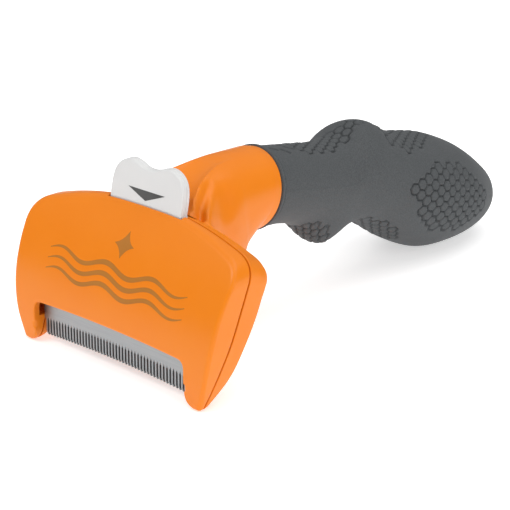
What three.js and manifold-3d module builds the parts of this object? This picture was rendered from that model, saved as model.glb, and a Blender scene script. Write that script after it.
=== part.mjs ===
// Deshedding tool: an orange two-shell head with a toothed steel blade, a sprung hair ejector whose
// white button stands out of the top of the head, and a rubber grip over a two-piece core.
// Millimetres, +Z up. The tool stands as it lies on a table, on its two skids and its grip.
// X runs across the head, +Y runs back along the handle, and the object is symmetric about X = 0.

import * as THREE from 'three';
import { mergeVertices } from 'three/addons/utils/BufferGeometryUtils.js';
import Module from 'manifold-3d';

const wasm = await Module();
wasm.setup();

// ---- driving dimensions ----
const GAP = 0.3;                 // clearance between touching or cut pieces
const WALL = 2.2;                // wall of the head's two shells

const HEAD_TOP = 51.8;           // height of the head's arched top at its middle
const ARCH_END = [39.8, 46.0];   // where the arched top meets its round corner, across and up
const CORNER = [46.4, 44.0];     // the corner that the round end is drawn about
const SIDE_TOP = [45.7, 37.5];   // where the side meets the round corner
const SKID_OUT = 39.9;           // outer edge of a skid's tip
const SIDE_POINTS = [[42.7, 10], [44.3, 20], [45.1, 30], SIDE_TOP];

// side view of the head, as pairs of depth and height
const FACE_LINE = [[0, 0], [-0.8, 10], [0.1, 20], [2.9, 30], [8, 40], [15.8, 50], [18.6, 53]];
const SEAM_LINE = [[1.7, 0], [4.9, 10], [8.9, 20], [12.4, 30], [15.6, 40], [18.9, 50], [19.9, 53]];
const TOP_FALL = 0.5;             // slope of the rear housing's top, down to the back
const FALL_START = 32;           // height where that slope begins, and over what height it grows
const FALL_FADE = 12;
const BACK_LINE = [[3.3, 0], [11, 7.8], [16.3, 18], [21.5, 30], [24.2, 42], [26, 53]];

const WINDOW_HALF = 33.7;        // half the opening that shows the blade
const WINDOW_TOP = [14.9, 15.7]; // height of its upper edge at the sides and in the middle
const BACK_EDGE = [12.2, 13];    // the same for the rear shell

const BLADE_FRONT = 3.2;
const BLADE_THICK = 1.2;
const BLADE_HALF = 33.3;
const BLADE_TOP = 23.2;
const TOOTH_COUNT = 47;
const TOOTH_LENGTH = 6.6;
const TOOTH_TIP = [1.8, 2.9];    // height of the tips at the sides and in the middle
const SLOT_SHARE = 0.46;         // part of the pitch that is cut away

const EJECTOR_TRAVEL = 11.5;
const BUTTON_FRONT = 17.1;
const BUTTON_THICK = 3.1;
const BUTTON_LEAN = 0.2;         // backward lean of the button, as a slope
const BUTTON_HALF = 15.6;
// the right edge of the button, from its shoulder over a lobe to the dip in the middle of its top
const BUTTON_EDGE = [[15.7, 54], [15.4, 57.5], [14.5, 60.2], [12.3, 62.5], [8.9, 63.7], [5.6, 63.2],
  [2.7, 62.2], [0, 61.85]];
const BUTTON_ROOM = 0.6;         // clearance behind the button and the link, and most of that beside them
const BUTTON_LOW = 44.4;         // lower end of the button's stem, inside the head
const BUTTON_OVER = 70;          // a height above the whole button
const LEAN_START = 51;           // height where the button starts to lean back
const BAR_LOW = 16.4;
const BAR_HEIGHT = 2.6;
const BAR_DEEP = 2.4;
const BAR_HALF = 32.8;
const BAR_LUG_DEEP = 5.4;        // the bar's two lugs, which carry the rivets
const BAR_LUG_HALF = 4;

const CLAMP_FRONT = BLADE_FRONT + BLADE_THICK + GAP;
const CLAMP_THICK = 1.4;
const CLAMP_LOW = 19.9;
const CLAMP_HALF = 31;

// the sloping link between the bar and the button
const LINK_FOOT = CLAMP_FRONT + BAR_LUG_DEEP;      // depth of the foot's back
const LINK_LOW = BAR_LOW + BAR_HEIGHT + GAP;       // height where the link starts
const LINK_TOP_FRONT = 21;                         // depth of the upper end, behind the button's stem
const LINK_TOP = 48;
const LINK_THICK = 1.5;
const LINK_HALF = 15;
const LINK_BACK = [[LINK_FOOT, 23.5], [17, 37], [LINK_TOP_FRONT + LINK_THICK, 43]];
const LINK_FRONT = [[LINK_TOP_FRONT, 43.6], [15.4, 37.6], [9.2, 24]];
const LINK_SLOT = [[-5.5, 0, 15], [5.5, 40, 33]];  // the space between its two legs
const RIVET_X = 10;
const RIVET_BEHIND = 1.9;                          // from the foot's back to a rivet's axis
const RIVET_HEIGHT = 46.4;                         // the two rivets through the button's stem
const RIVET_RADIUS = 0.8;
const RIVET_HOLE = 1.1;
const RIVET_HEAD_DEEP = 1;

const SPRING_X = 24;
const SPRING_Y = 10.8;
const SPRING_LOW = 16;
const SPRING_TOP = 34;
const SPRING_RADIUS = 1.9;
const SPRING_WIRE = 0.3;
const SPRING_TURNS = 7;

// screws: radius and depth of the head, radius of the shank, whole length
const HOUSING_SCREW = { head: 2.4, headDeep: 1.8, shank: 1.1, length: 9 };
const HOUSING_SCREW_PLACES = [[38.6, 15], [39.4, 37]].flatMap(([x, z]) => [[-x, z], [x, z]]);
const HOUSING_SCREW_SUNK = 3.2;  // the head lies this far under the rear face
const BLADE_SCREW = { head: 2.2, headDeep: 1.5, shank: 1, length: 6.2 };
const BLADE_SCREW_PLACES = [-25, 0, 25];
const BLADE_SCREW_HEIGHT = 21.5;
const HANDLE_SCREW = { head: 2.8, headDeep: 1.4, shank: 1.5, length: 10.5 };
const HANDLE_SCREW_AHEAD = 7;    // ahead of the collar's face, along the handle's axis
const HANDLE_SCREW_SEAT = 11;    // below the axis
const INSERT_RADIUS = 2.4;
const CORE_SCREW = { head: 2.6, headDeep: 1.8, shank: 1.2, length: 13 };
const CORE_SCREW_PLACES = [12, 60, 98];

const AXIS_TILT = THREE.MathUtils.degToRad(13.8);   // the handle slopes down to the back
const COLLAR_CENTRE = [65.1, 45];                   // depth and height of the collar's middle
const COLLAR_RADIUS = 14;
const SOCKET_RADIUS = 9.4;
const SOCKET_DEPTH = 15;

// the grip along its axis, as pairs of distance from the collar and height over the axis
const GRIP_TOP = [[0, 13.9], [20, 15.3], [32, 16.2], [40, 18], [44.7, 21], [48.5, 23.8], [52, 24.7],
  [56, 24.6], [60.5, 23.4], [65, 21.8], [70, 21.1], [80, 21.4], [90, 21.6], [98, 20.7], [106, 19.2],
  [114, 16.8], [121, 14.1], [127, 11.6], [131, 9.4], [134.5, 6.4], [136.4, 3]];
const GRIP_LOW = [[0, -13.8], [10, -12.1], [18, -11.9], [24, -12.9], [28, -14.8], [32, -17.2], [36, -19],
  [39.5, -19.4], [43.5, -17.4], [48, -13.8], [52.5, -12], [57, -12], [61.5, -12.9], [67.4, -14.7],
  [73.6, -16.8], [80, -18.9], [90, -21.2], [97, -21.7], [107, -20], [116.5, -17.5], [124, -14.4],
  [130, -10.6], [134.5, -5], [136.4, 0]];
const GRIP_WIDE = [[0, 13.9], [20, 13.8], [38, 14.3], [58, 17.4], [78, 21.2], [94, 22], [110, 20.8],
  [124, 16.4], [131, 11.2], [134.5, 6.8], [136.4, 2.2]];
const GRIP_END = 136.4;
const GRIP_STATIONS = 34;
const CORE_START = 2;
const CORE_END = 118;
const CORE_STATIONS = 16;
const CORE_SHARE = 0.6;         // the core's section as a part of the grip's
const TENON_RADIUS = SOCKET_RADIUS - GAP;

// the neck's rings from inside the head back to the collar
const NECK_STATIONS = [
  { top: [21, 48], middle: [17.2, 30.3], low: [13.5, 12.5], width: 23, above: 0.5, below: 0.5 },
  { top: [26, 51], middle: [22.2, 33.3], low: [20, 13], width: 21, above: 0.5, below: 0.5 },
  { top: [29.5, 54.5], middle: [27.2, 37], low: [27.5, 14.5], width: 18.9, above: 0.6, below: 0.55 },
  { top: [34, 57.4], middle: [33, 40.6], low: [36.5, 16.5], width: 17, above: 0.75, below: 0.6 },
  { top: [41, 58.9], middle: [40.8, 43.2], low: [46.5, 20], width: 15.8, above: 0.9, below: 0.6 },
  { top: [47, 59.5], middle: [46, 44.2], low: [50.5, 24], width: 14.8, above: 0.95, below: 0.65 },
  { top: [52, 59.8], middle: [50.5, 44.9], low: [53, 27.5], width: 14.2, above: 1, below: 0.75 },
];

const ORIGIN_Y = 99.15;          // depth of the middle of the whole tool, behind the skids' tips

// ---- materials ----
function finish(colour, roughness, metalness = 0) {
  return new THREE.MeshStandardMaterial({ color: colour, roughness, metalness });
}
const orange = finish(0xf78b1f, 0.35);
const white = finish(0xe8e8e8, 0.35);
const rubber = finish(0x5c5f61, 0.8);
const blackPlastic = finish(0x2b2c2e, 0.6);
const steel = finish(0xb0b5b8, 0.35, 1);
const zinc = finish(0x9da0a3, 0.4, 1);
const brass = finish(0xb99a4b, 0.35, 1);

// ---- solids ----
function solid(geometry) {
  const bare = geometry.index ? geometry.toNonIndexed() : geometry.clone();
  bare.deleteAttribute('normal');
  bare.deleteAttribute('uv');
  const merged = mergeVertices(bare, 1e-4);
  return new wasm.Manifold(new wasm.Mesh({
    numProp: 3,
    vertProperties: new Float32Array(merged.attributes.position.array),
    triVerts: new Uint32Array(merged.index.array),
  }));
}

function geometryOf(body) {
  const cut = body.getMesh();
  const geometry = new THREE.BufferGeometry();
  geometry.setAttribute('position', new THREE.BufferAttribute(new Float32Array(cut.vertProperties), 3));
  geometry.setIndex(new THREE.BufferAttribute(new Uint32Array(cut.triVerts), 1));
  return geometry;
}

const tool = new THREE.Group();
tool.position.set(0, -ORIGIN_Y, 0);

function addPiece(name, body, material) {
  const mesh = new THREE.Mesh(geometryOf(body), material);
  mesh.name = name;
  tool.add(mesh);
}

function box(low, high) {
  const size = high.map((value, i) => value - low[i]);
  const geometry = new THREE.BoxGeometry(...size);
  geometry.translate(...low.map((value, i) => value + size[i] / 2));
  return solid(geometry);
}

// a front-view outline (x, z) carried along Y
function alongY(shape, from, to, segments = 8) {
  const geometry = new THREE.ExtrudeGeometry(shape, {
    depth: to - from, bevelEnabled: false, curveSegments: segments,
  });
  geometry.rotateX(Math.PI / 2);
  geometry.translate(0, to, 0);
  return solid(geometry);
}

// a side-view outline (y, z) carried along X
function alongX(shape, from, to, segments = 8) {
  const geometry = new THREE.ExtrudeGeometry(shape, {
    depth: to - from, bevelEnabled: false, curveSegments: segments,
  });
  geometry.applyMatrix4(new THREE.Matrix4().makeBasis(
    new THREE.Vector3(0, 1, 0), new THREE.Vector3(0, 0, 1), new THREE.Vector3(1, 0, 0)));
  geometry.translate(from, 0, 0);
  return solid(geometry);
}

// a round rod between two points
function rod(from, to, radius, endRadius = radius, sides = 18) {
  const start = new THREE.Vector3(...from);
  const run = new THREE.Vector3(...to).sub(start);
  const geometry = new THREE.CylinderGeometry(endRadius, radius, run.length(), sides);
  geometry.translate(0, run.length() / 2, 0);
  const turn = new THREE.Quaternion().setFromUnitVectors(
    new THREE.Vector3(0, 1, 0), run.clone().normalize());
  geometry.applyQuaternion(turn);
  geometry.translate(...from);
  return solid(geometry);
}

// closed body through rings that all have the same number of points
function loft(rings) {
  const count = rings[0].length;
  const positions = [];
  const index = [];
  rings.forEach((ring) => ring.forEach((point) => positions.push(...point)));
  for (let row = 0; row < rings.length - 1; row += 1) {
    for (let i = 0; i < count; i += 1) {
      const next = (i + 1) % count;
      const a = row * count + i;
      const b = row * count + next;
      index.push(a, b, b + count, a, b + count, a + count);
    }
  }
  [rings[0], rings[rings.length - 1]].forEach((ring, end) => {
    const middle = ring.reduce((sum, point) => sum.map((v, i) => v + point[i] / count), [0, 0, 0]);
    const centre = positions.length / 3;
    const base = end ? (rings.length - 1) * count : 0;
    positions.push(...middle);
    for (let i = 0; i < count; i += 1) {
      const next = (i + 1) % count;
      if (end) index.push(centre, base + i, base + next);
      else index.push(centre, base + next, base + i);
    }
  });
  const geometry = new THREE.BufferGeometry();
  geometry.setAttribute('position', new THREE.Float32BufferAttribute(positions, 3));
  geometry.setIndex(index);
  return solid(geometry);
}

// ---- the handle's axis ----
const AXIS_Y = Math.cos(AXIS_TILT);
const AXIS_Z = -Math.sin(AXIS_TILT);

// a point at a distance along the handle's axis, across it and up from it
function onAxis(along, across, up) {
  return [
    across,
    COLLAR_CENTRE[0] + along * AXIS_Y - up * AXIS_Z,
    COLLAR_CENTRE[1] + along * AXIS_Z + up * AXIS_Y,
  ];
}

function curveThrough(points) {
  return new THREE.SplineCurve(points.map((p) => new THREE.Vector2(...p)));
}

// reads a curve's second coordinate where its first one reaches a value
function readAt(points, value) {
  const samples = curveThrough(points).getPoints(points.length * 10);
  if (value <= samples[0].x) return samples[0].y;
  for (let i = 1; i < samples.length; i += 1) {
    if (samples[i].x >= value) {
      const share = (value - samples[i - 1].x) / (samples[i].x - samples[i - 1].x);
      return samples[i - 1].y + share * (samples[i].y - samples[i - 1].y);
    }
  }
  return samples[samples.length - 1].y;
}

// ---- the head's outlines ----
function headOutline(inset = 0) {
  const shape = new THREE.Shape();
  const side = [[SKID_OUT, 0], ...SIDE_POINTS].map(([x, z]) => new THREE.Vector2(x - inset, z));
  const base = inset > 0 ? inset * 1.4 : 0;
  side[0].y = base;
  const mirrored = (point) => new THREE.Vector2(-point.x, point.y);
  const arch = new THREE.Vector2(ARCH_END[0] - inset * 0.7, ARCH_END[1] - inset);
  const corner = new THREE.Vector2(CORNER[0] - inset, CORNER[1] - inset);
  const crown = 2 * (HEAD_TOP - inset) - arch.y;
  shape.moveTo(-side[0].x, base);
  shape.lineTo(side[0].x, base);
  shape.splineThru(side.slice(1));
  shape.quadraticCurveTo(corner.x, corner.y, arch.x, arch.y);
  shape.quadraticCurveTo(0, crown, -arch.x, arch.y);
  shape.quadraticCurveTo(-corner.x, corner.y, -side[side.length - 1].x, side[side.length - 1].y);
  shape.splineThru(side.slice(0, -1).reverse().map(mirrored));
  return shape;
}

// the band of the side view between two lines, each moved along Y
function depthBand(front, frontShift, back, backShift) {
  const shape = new THREE.Shape();
  const forward = curveThrough(front.map(([y, z]) => [y + frontShift, z])).getPoints(12);
  const backward = curveThrough(back.map(([y, z]) => [y + backShift, z])).getPoints(12).reverse();
  shape.setFromPoints([...forward, ...backward]);
  return alongX(shape, -SKID_OUT - 12, SKID_OUT + 12, 1);
}

// opening with an arched upper edge
function archedOpening(half, [sideHeight, midHeight], from, to) {
  const shape = new THREE.Shape();
  const round = 3;
  shape.moveTo(-half, -5);
  shape.lineTo(half, -5);
  shape.lineTo(half, sideHeight - round);
  shape.quadraticCurveTo(half, sideHeight, half - round, sideHeight);
  shape.quadraticCurveTo(0, 2 * midHeight - sideHeight, -half + round, sideHeight);
  shape.quadraticCurveTo(-half, sideHeight, -half, sideHeight - round);
  return alongY(shape, from, to, 6);
}

function lineAt(line, height) {
  return readAt(line.map(([y, z]) => [z, y]), height);
}

// ---- screws ----
// a screw with a round head: from the head's outer face to the point, along a direction
function screw(name, start, direction, { head, headDeep, shank, length }) {
  const dir = new THREE.Vector3(...direction).normalize();
  const at = (d) => new THREE.Vector3(...start).addScaledVector(dir, d).toArray();
  const neck = headDeep - 0.2;
  const body = rod(at(0), at(headDeep), head)
    .add(rod(at(neck), at(length - shank), shank))
    .add(rod(at(length - shank - 0.1), at(length), shank, shank * 0.35));
  const recess = rod(at(-0.5), at(headDeep * 0.55), head * 0.45, head * 0.4, 6);
  addPiece(name, body.subtract(recess), zinc);
}

function housingScrewHead(z) {
  return lineAt(BACK_LINE, z) - HOUSING_SCREW_SUNK;
}

// ---- front cover ----
function frontCover() {
  const outer = alongY(headOutline(), -6, 40);
  const inner = alongY(headOutline(WALL), -6, 40);
  let body = outer.intersect(depthBand(FACE_LINE, 0, SEAM_LINE, -GAP / 2));
  body = body.subtract(inner.intersect(depthBand(FACE_LINE, WALL, SEAM_LINE, 4)));
  // skids are solid beside the window
  const skid = box([WINDOW_HALF + 0.2, -3, 0], [SKID_OUT + 8, 30, 9]);
  const skids = skid.add(box([-SKID_OUT - 8, -3, 0], [-WINDOW_HALF - 0.2, 30, 9]));
  body = body.add(skids.intersect(outer).intersect(depthBand(FACE_LINE, 0, SEAM_LINE, -GAP / 2)));
  HOUSING_SCREW_PLACES.forEach(([x, z]) => {
    const back = lineAt(SEAM_LINE, z) - GAP / 2 - 0.4;
    body = body.add(rod([x, lineAt(FACE_LINE, z) + 1, z], [x, back, z], 3));
  });
  BLADE_SCREW_PLACES.forEach((x) => {
    body = body.add(rod([x, 1, BLADE_SCREW_HEIGHT], [x, BLADE_FRONT - GAP, BLADE_SCREW_HEIGHT], 3));
  });
  body = body.intersect(outer).intersect(depthBand(FACE_LINE, 0, SEAM_LINE, -GAP / 2));
  HOUSING_SCREW_PLACES.forEach(([x, z]) => {
    const end = housingScrewHead(z) - HOUSING_SCREW.length - GAP;
    body = body.subtract(rod([x, Math.max(end, lineAt(FACE_LINE, z) + 1.2), z], [x, 30, z], 1.4));
  });
  BLADE_SCREW_PLACES.forEach((x) => {
    body = body.subtract(rod([x, 1.4, BLADE_SCREW_HEIGHT], [x, 6, BLADE_SCREW_HEIGHT], 1.3));
  });
  body = body.subtract(archedOpening(WINDOW_HALF, WINDOW_TOP, -6, 30)).subtract(buttonShaft());
  addPiece('front_cover', body, orange);
}

// ---- rear housing with its neck and collar ----
// lets the upper part of a body fall away behind the seam
function lowered(body) {
  const mesh = body.getMesh();
  const points = mesh.vertProperties.slice();
  for (let i = 0; i < points.length; i += 3) {
    const behind = points[i + 1] - lineAt(SEAM_LINE, points[i + 2]) - GAP;
    const high = THREE.MathUtils.clamp((points[i + 2] - FALL_START) / FALL_FADE, 0, 1);
    if (behind > 0) points[i + 2] -= TOP_FALL * behind * high;
  }
  return new wasm.Manifold(new wasm.Mesh({ numProp: 3, vertProperties: points, triVerts: mesh.triVerts }));
}

// a ring through its top, its widest points and its low point, which are pairs of depth and height; above
// and below the widest points it lies between an ellipse (1) and a rounded rectangle (less than 1)
function neckRing({ top, middle, low, width, above, below }, sides = 24) {
  return Array.from({ length: sides }, (_, i) => {
    const angle = (2 * Math.PI * i) / sides;
    const rise = Math.sin(angle);
    const [end, square] = rise > 0 ? [top, above] : [low, below];
    const share = Math.abs(rise) ** square;
    const [y, z] = middle.map((value, axis) => value + share * (end[axis] - value));
    return [-width * Math.sign(Math.cos(angle)) * Math.abs(Math.cos(angle)) ** square, y, z];
  });
}

function collarRing(along, radius, sides = 24) {
  return Array.from({ length: sides }, (_, i) => {
    const angle = (2 * Math.PI * i) / sides;
    return onAxis(along, -radius * Math.cos(angle), radius * Math.sin(angle));
  });
}

function neck() {
  const rings = NECK_STATIONS.map((station) => neckRing(station));
  rings.push(collarRing(-3, COLLAR_RADIUS), collarRing(-GAP / 2, COLLAR_RADIUS));
  return loft(rings);
}

// the space that the button and the link's upper end sweep as they go down, open at the top
function buttonShaft() {
  const room = BUTTON_ROOM;
  const front = BUTTON_FRONT - 0.4;
  const rivetBack = LINK_TOP_FRONT + LINK_THICK + RIVET_HEAD_DEEP + room;
  // the button's back leans away above the height that its shoulder reaches when it is down
  const leanAt = (y) => LEAN_START - EJECTOR_TRAVEL + (y - BUTTON_FRONT - BUTTON_THICK - room) / BUTTON_LEAN;
  const overBack = rivetBack + (BUTTON_OVER - leanAt(rivetBack)) * BUTTON_LEAN;
  const shape = new THREE.Shape();
  shape.moveTo(front, BUTTON_LOW - EJECTOR_TRAVEL - 1);
  LINK_BACK.slice(1).forEach(([y, z]) => shape.lineTo(y + room, z - EJECTOR_TRAVEL - room));
  shape.lineTo(rivetBack, LINK_BACK[2][1] - EJECTOR_TRAVEL + room);
  shape.lineTo(rivetBack, leanAt(rivetBack));
  shape.lineTo(overBack, BUTTON_OVER);
  shape.lineTo(front, BUTTON_OVER);
  return alongX(shape, -BUTTON_HALF - BUTTON_ROOM, BUTTON_HALF + BUTTON_ROOM);
}

function rearHousing() {
  const outer = alongY(headOutline(), -6, 40);
  const inner = alongY(headOutline(WALL), -6, 40);
  const cavity = lowered(inner.intersect(depthBand(SEAM_LINE, -4, BACK_LINE, -WALL)));
  let body = lowered(outer.intersect(depthBand(SEAM_LINE, GAP / 2, BACK_LINE, 0)));
  body = body.add(neck()).subtract(cavity);
  // skids are solid beside the window
  const skid = box([WINDOW_HALF + 0.2, -3, 0], [SKID_OUT + 8, 30, 8]);
  const skids = skid.add(box([-SKID_OUT - 8, -3, 0], [-WINDOW_HALF - 0.2, 30, 8]));
  body = body.add(skids.intersect(outer).intersect(depthBand(SEAM_LINE, GAP / 2, BACK_LINE, 0)));
  body = body.subtract(buttonShaft());
  // seats for the two return springs
  [-SPRING_X, SPRING_X].forEach((x) => {
    const seat = box([x - 3, 8.4, SPRING_LOW - 2.3], [x + 3, 17, SPRING_LOW - GAP])
      .intersect(depthBand(SEAM_LINE, GAP / 2, BACK_LINE, -0.5));
    const post = rod([x, SPRING_Y, SPRING_LOW - 1], [x, SPRING_Y, SPRING_LOW + 4], 1.1);
    body = body.add(seat).add(post);
  });
  HOUSING_SCREW_PLACES.forEach(([x, z]) => {
    const tube = rod([x, 2, z], [x, lineAt(BACK_LINE, z) - 1, z], 3.4)
      .intersect(outer).intersect(depthBand(SEAM_LINE, GAP / 2, BACK_LINE, 0));
    const headSeat = housingScrewHead(z) - HOUSING_SCREW.headDeep - GAP;
    body = body.add(tube);
    body = body.subtract(rod([x, 0, z], [x, 40, z], 1.4));
    body = body.subtract(rod([x, headSeat, z], [x, 40, z], 2.7));
  });
  body = body.subtract(archedOpening(WINDOW_HALF, BACK_EDGE, -6, 19));
  body = body.subtract(rod(onAxis(-SOCKET_DEPTH, 0, 0), onAxis(5, 0, 0), SOCKET_RADIUS, SOCKET_RADIUS, 32));
  const below = (up) => onAxis(-HANDLE_SCREW_AHEAD, 0, up);
  body = body.subtract(rod(below(0), below(-30), HANDLE_SCREW.shank + 0.4));
  body = body.subtract(rod(below(-HANDLE_SCREW_SEAT), below(-30), HANDLE_SCREW.head + 0.4));
  addPiece('rear_housing', body, orange);
}

// ---- blade ----
function blade() {
  const shape = new THREE.Shape();
  const pitch = (2 * BLADE_HALF) / (TOOTH_COUNT + SLOT_SHARE);
  const tooth = pitch * (1 - SLOT_SHARE);
  const tipAt = (x) => TOOTH_TIP[1] - (TOOTH_TIP[1] - TOOTH_TIP[0]) * (x / BLADE_HALF) ** 2;
  const first = -BLADE_HALF + pitch * SLOT_SHARE;
  shape.moveTo(-BLADE_HALF, BLADE_TOP);
  shape.lineTo(-BLADE_HALF, tipAt(BLADE_HALF) + TOOTH_LENGTH);
  for (let i = 0; i < TOOTH_COUNT; i += 1) {
    const left = first + i * pitch;
    const right = left + tooth;
    const slotMiddle = right + (pitch - tooth) / 2;
    const tip = tipAt(left + tooth / 2);
    shape.lineTo(left, tip + TOOTH_LENGTH - 0.5);
    shape.lineTo(left + 0.1, tip + 0.3);
    shape.lineTo(left + tooth / 2, tip);
    shape.lineTo(right - 0.1, tip + 0.3);
    shape.lineTo(right, tip + TOOTH_LENGTH - 0.5);
    if (i < TOOTH_COUNT - 1) shape.lineTo(slotMiddle, tip + TOOTH_LENGTH);
  }
  shape.lineTo(BLADE_HALF, tipAt(BLADE_HALF) + TOOTH_LENGTH);
  shape.lineTo(BLADE_HALF, BLADE_TOP);
  let body = alongY(shape, BLADE_FRONT, BLADE_FRONT + BLADE_THICK);
  BLADE_SCREW_PLACES.forEach((x) => {
    body = body.subtract(rod([x, 0, BLADE_SCREW_HEIGHT], [x, 9, BLADE_SCREW_HEIGHT], 1.3));
  });
  addPiece('comb_blade', body, steel);
}

function bladeClamp() {
  const back = CLAMP_FRONT + CLAMP_THICK;
  let body = box([-CLAMP_HALF, CLAMP_FRONT, CLAMP_LOW], [CLAMP_HALF, back, BLADE_TOP - 0.4]);
  BLADE_SCREW_PLACES.forEach((x) => {
    body = body.subtract(rod([x, 0, BLADE_SCREW_HEIGHT], [x, 9, BLADE_SCREW_HEIGHT], 1.3));
  });
  addPiece('blade_clamp', body, zinc);
}

// ---- ejector ----
function ejectorBar() {
  const top = BAR_LOW + BAR_HEIGHT;
  let body = box([-BAR_HALF, CLAMP_FRONT, BAR_LOW], [BAR_HALF, CLAMP_FRONT + BAR_DEEP, top]);
  [-RIVET_X, RIVET_X].forEach((x) => {
    const lug = box([x - BAR_LUG_HALF, CLAMP_FRONT + 2, BAR_LOW], [x + BAR_LUG_HALF, LINK_FOOT, top]);
    const y = LINK_FOOT - RIVET_BEHIND;
    body = body.add(lug).subtract(rod([x, y, BAR_LOW - 1], [x, y, top + 1], RIVET_HOLE));
  });
  addPiece('ejector_bar', body, blackPlastic);
}

function ejectorLink() {
  const footDeep = 3.4;
  const footHigh = 1.6;
  const shape = new THREE.Shape();
  shape.moveTo(LINK_FOOT - footDeep, LINK_LOW);
  shape.lineTo(LINK_FOOT, LINK_LOW);
  LINK_BACK.forEach(([y, z]) => shape.lineTo(y, z));
  shape.lineTo(LINK_TOP_FRONT + LINK_THICK, LINK_TOP);
  shape.lineTo(LINK_TOP_FRONT, LINK_TOP);
  LINK_FRONT.forEach(([y, z]) => shape.lineTo(y, z));
  shape.lineTo(LINK_FOOT - footHigh, LINK_LOW + footHigh);
  shape.lineTo(LINK_FOOT - footDeep, LINK_LOW + footHigh);
  // the cross arm that the two springs push on
  const armBack = LINK_FRONT[1][0] - 0.4;
  const armEnd = SPRING_X + 3;
  const arm = box([-armEnd, SPRING_Y - 2.2, SPRING_TOP + GAP], [armEnd, armBack, SPRING_TOP + 2.2]);
  let body = alongX(shape, -LINK_HALF, LINK_HALF).subtract(box(...LINK_SLOT)).add(arm);
  [-RIVET_X, RIVET_X].forEach((x) => {
    const y = LINK_FOOT - RIVET_BEHIND;
    body = body.subtract(rod([x, y, LINK_LOW - 1], [x, y, LINK_LOW + 4], RIVET_HOLE));
    body = body.subtract(rod([x, 10, RIVET_HEIGHT], [x, 40, RIVET_HEIGHT], RIVET_HOLE));
  });
  addPiece('ejector_link', body, blackPlastic);
}

function rivets() {
  const y = LINK_FOOT - RIVET_BEHIND;
  const back = LINK_TOP_FRONT + LINK_THICK;
  [-RIVET_X, RIVET_X].forEach((x, i) => {
    const pin = rod([x, y, BAR_LOW + 0.4], [x, y, LINK_LOW + 2.2], RIVET_RADIUS);
    addPiece(`bar_rivet_${i + 1}`, pin, steel);
    const shank = rod([x, BUTTON_FRONT + GAP, RIVET_HEIGHT], [x, back + 0.6, RIVET_HEIGHT], RIVET_RADIUS);
    const headBack = [x, back + RIVET_HEAD_DEEP, RIVET_HEIGHT];
    const head = rod([x, back + GAP, RIVET_HEIGHT], headBack, 2 * RIVET_RADIUS);
    addPiece(`button_rivet_${i + 1}`, shank.add(head), steel);
  });
}

// the button's plate, with two round lobes on top and a shallow dip between them
function button() {
  const shape = new THREE.Shape();
  const low = BUTTON_LOW;
  const edge = [...BUTTON_EDGE, ...BUTTON_EDGE.slice(0, -1).reverse().map(([x, z]) => [-x, z])];
  shape.moveTo(-BUTTON_HALF, low);
  shape.lineTo(BUTTON_HALF, low);
  shape.lineTo(BUTTON_HALF, LEAN_START - 1);
  shape.splineThru([...edge, [-BUTTON_HALF, LEAN_START - 1]].map(([x, z]) => new THREE.Vector2(x, z)));
  const front = alongY(shape, 10, 40, 6);
  // side view: an upright stem inside the head, and a leaning plate over it
  const rise = BUTTON_OVER - LEAN_START;
  const side = new THREE.Shape();
  side.moveTo(BUTTON_FRONT, low);
  side.lineTo(LINK_TOP_FRONT - GAP, low);
  side.lineTo(LINK_TOP_FRONT - GAP, LINK_TOP + 1);
  side.lineTo(BUTTON_FRONT + BUTTON_THICK, LINK_TOP + 1.6);
  side.lineTo(BUTTON_FRONT + BUTTON_THICK, LEAN_START);
  side.lineTo(BUTTON_FRONT + BUTTON_THICK + rise * BUTTON_LEAN, LEAN_START + rise);
  side.lineTo(BUTTON_FRONT + rise * BUTTON_LEAN, LEAN_START + rise);
  side.lineTo(BUTTON_FRONT, LEAN_START);
  let body = front.intersect(alongX(side, -25, 25));
  [-RIVET_X, RIVET_X].forEach((x) => {
    body = body.subtract(rod([x, 10, RIVET_HEIGHT], [x, 40, RIVET_HEIGHT], RIVET_HOLE));
  });
  addPiece('ejector_button', body, white);
}

function returnSprings() {
  [-SPRING_X, SPRING_X].forEach((x, i) => {
    const length = SPRING_TOP - SPRING_LOW - 2 * SPRING_WIRE;
    const steps = SPRING_TURNS * 8;
    const points = Array.from({ length: steps + 1 }, (_, step) => {
      const angle = (2 * Math.PI * SPRING_TURNS * step) / steps;
      return new THREE.Vector3(
        x + SPRING_RADIUS * Math.cos(angle),
        SPRING_Y + SPRING_RADIUS * Math.sin(angle),
        SPRING_LOW + SPRING_WIRE + (length * step) / steps);
    });
    const wire = new THREE.Shape();
    wire.absarc(0, 0, SPRING_WIRE, 0, 2 * Math.PI);
    const coil = new THREE.ExtrudeGeometry(wire, {
      steps, curveSegments: 3, bevelEnabled: false, extrudePath: new THREE.CatmullRomCurve3(points),
    });
    addPiece(`return_spring_${i + 1}`, solid(coil), steel);
  });
}

// ---- handle ----
function gripRing(along, share, shrink, sides) {
  const top = readAt(GRIP_TOP, along);
  const low = readAt(GRIP_LOW, along);
  const wide = readAt(GRIP_WIDE, along);
  const middle = (top + low) / 2;
  const half = ((top - low) / 2) * share - shrink;
  return Array.from({ length: sides }, (_, i) => {
    const angle = (2 * Math.PI * i) / sides;
    return onAxis(along, -(wide * share - shrink) * Math.cos(angle), middle + half * Math.sin(angle));
  });
}

// the core inside the grip, grown all round to cut the space that it fills
function coreBody(grow) {
  const start = CORE_START + 12;
  const run = CORE_END + grow - start;
  const round = [CORE_START - 1 - grow, CORE_START + 5];
  const rings = round.map((along) => collarRing(along, TENON_RADIUS + grow));
  for (let i = 0; i <= CORE_STATIONS; i += 1) {
    rings.push(gripRing(start + (run * i) / CORE_STATIONS, CORE_SHARE, -grow, 24));
  }
  return loft(rings);
}

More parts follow.
